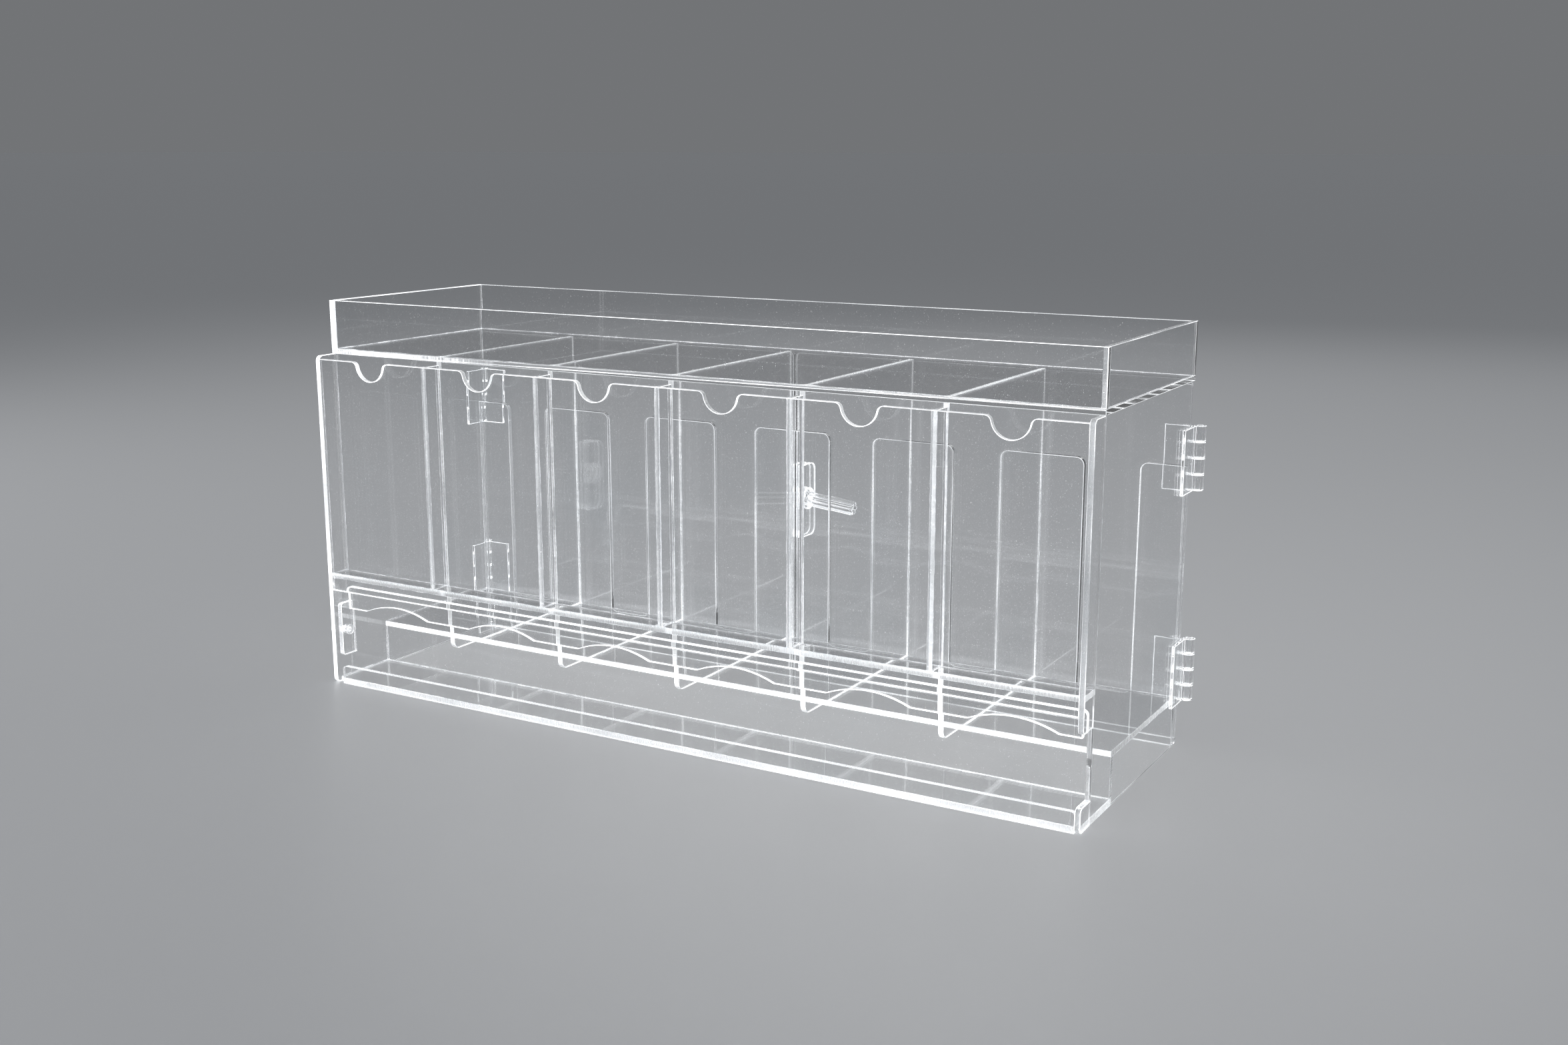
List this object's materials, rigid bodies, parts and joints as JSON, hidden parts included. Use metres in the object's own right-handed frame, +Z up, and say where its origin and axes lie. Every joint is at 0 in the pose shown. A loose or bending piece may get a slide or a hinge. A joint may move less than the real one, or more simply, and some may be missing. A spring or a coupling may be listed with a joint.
{
  "type": "gravity-feed card pack dispenser case",
  "caption": "Clear sheet-plastic tabletop dispenser with side-by-side lanes, label pocket, low front gate, open top tray and hinged rear doors with a lock pin.",
  "frame": {"origin": "on the ground under the centre of the whole object's bounding box", "axes": "+Z up, front faces -Y, +X along the width to the viewer's right when facing the front"},
  "size_m": [0.4924, 0.168, 0.2316],
  "materials": {
    "clear_acrylic": "polished clear sheet with bright cut edges",
    "clear_moulded": "clear moulded plastic hinges, pins and lock pin"
  },
  "bodies": {
    "case": {"divider_1": "clear_acrylic", "divider_2": "clear_acrylic", "divider_3": "clear_acrylic", "divider_4": "clear_acrylic", "divider_5": "clear_acrylic", "floor_riser": "clear_acrylic", "front_panel": "clear_acrylic", "gate_pivot_pin": "clear_moulded", "inner_front_panel": "clear_acrylic", "ledge_lip": "clear_acrylic", "ledge_plate": "clear_acrylic", "left_front_strip": "clear_acrylic", "left_lower_hinge_case_leaf": "clear_moulded", "left_lower_hinge_pin": "clear_moulded", "left_side_panel": "clear_acrylic", "left_upper_hinge_case_leaf": "clear_moulded", "left_upper_hinge_pin": "clear_moulded", "pocket_fin_1": "clear_acrylic", "pocket_fin_2": "clear_acrylic", "pocket_fin_3": "clear_acrylic", "pocket_fin_4": "clear_acrylic", "pocket_fin_5": "clear_acrylic", "pocket_floor": "clear_acrylic", "rear_finger_panel": "clear_acrylic", "right_front_foot": "clear_acrylic", "right_front_strip": "clear_acrylic", "right_lower_hinge_case_leaf": "clear_moulded", "right_lower_hinge_pin": "clear_moulded", "right_side_panel": "clear_acrylic", "right_upper_hinge_case_leaf": "clear_moulded", "right_upper_hinge_pin": "clear_moulded", "tray_floor": "clear_acrylic", "tray_front_wall": "clear_acrylic", "tray_left_wall": "clear_acrylic", "tray_rear_wall": "clear_acrylic", "tray_right_wall": "clear_acrylic", "upper_floor": "clear_acrylic"},
    "left_door": {"left_door": "clear_acrylic", "left_upper_hinge_door_leaf": "clear_moulded", "left_lower_hinge_door_leaf": "clear_moulded", "left_lock_lug": "clear_acrylic"},
    "right_door": {"right_door": "clear_acrylic", "right_upper_hinge_door_leaf": "clear_moulded", "right_lower_hinge_door_leaf": "clear_moulded", "right_lock_lug": "clear_acrylic"},
    "lock_pin": {"lock_pin": "clear_moulded"},
    "gate": {"gate_bar": "clear_acrylic", "gate_ear": "clear_acrylic"}
  },
  "joints": [
    {"name": "left_door_hinge", "type": "hinge", "parent": "case", "child": "left_door", "pos_m": [-0.243, 0.0707, 0.1], "axis": [0, 0, 1], "range_deg": [0, 180]},
    {"name": "right_door_hinge", "type": "hinge", "parent": "case", "child": "right_door", "pos_m": [0.243, 0.0707, 0.1], "axis": [0, 0, -1], "range_deg": [0, 180]},
    {"name": "lock_pin_slide", "type": "slide", "parent": "right_door", "child": "lock_pin", "axis": [-0.9938, 0, 0.1115], "range_m": [0, 0.016]},
    {"name": "gate_pivot", "type": "hinge", "parent": "case", "child": "gate", "pos_m": [-0.2345, -0.0768, 0.0326], "axis": [1, 0, 0], "range_deg": [-8, 8]}
  ]
}
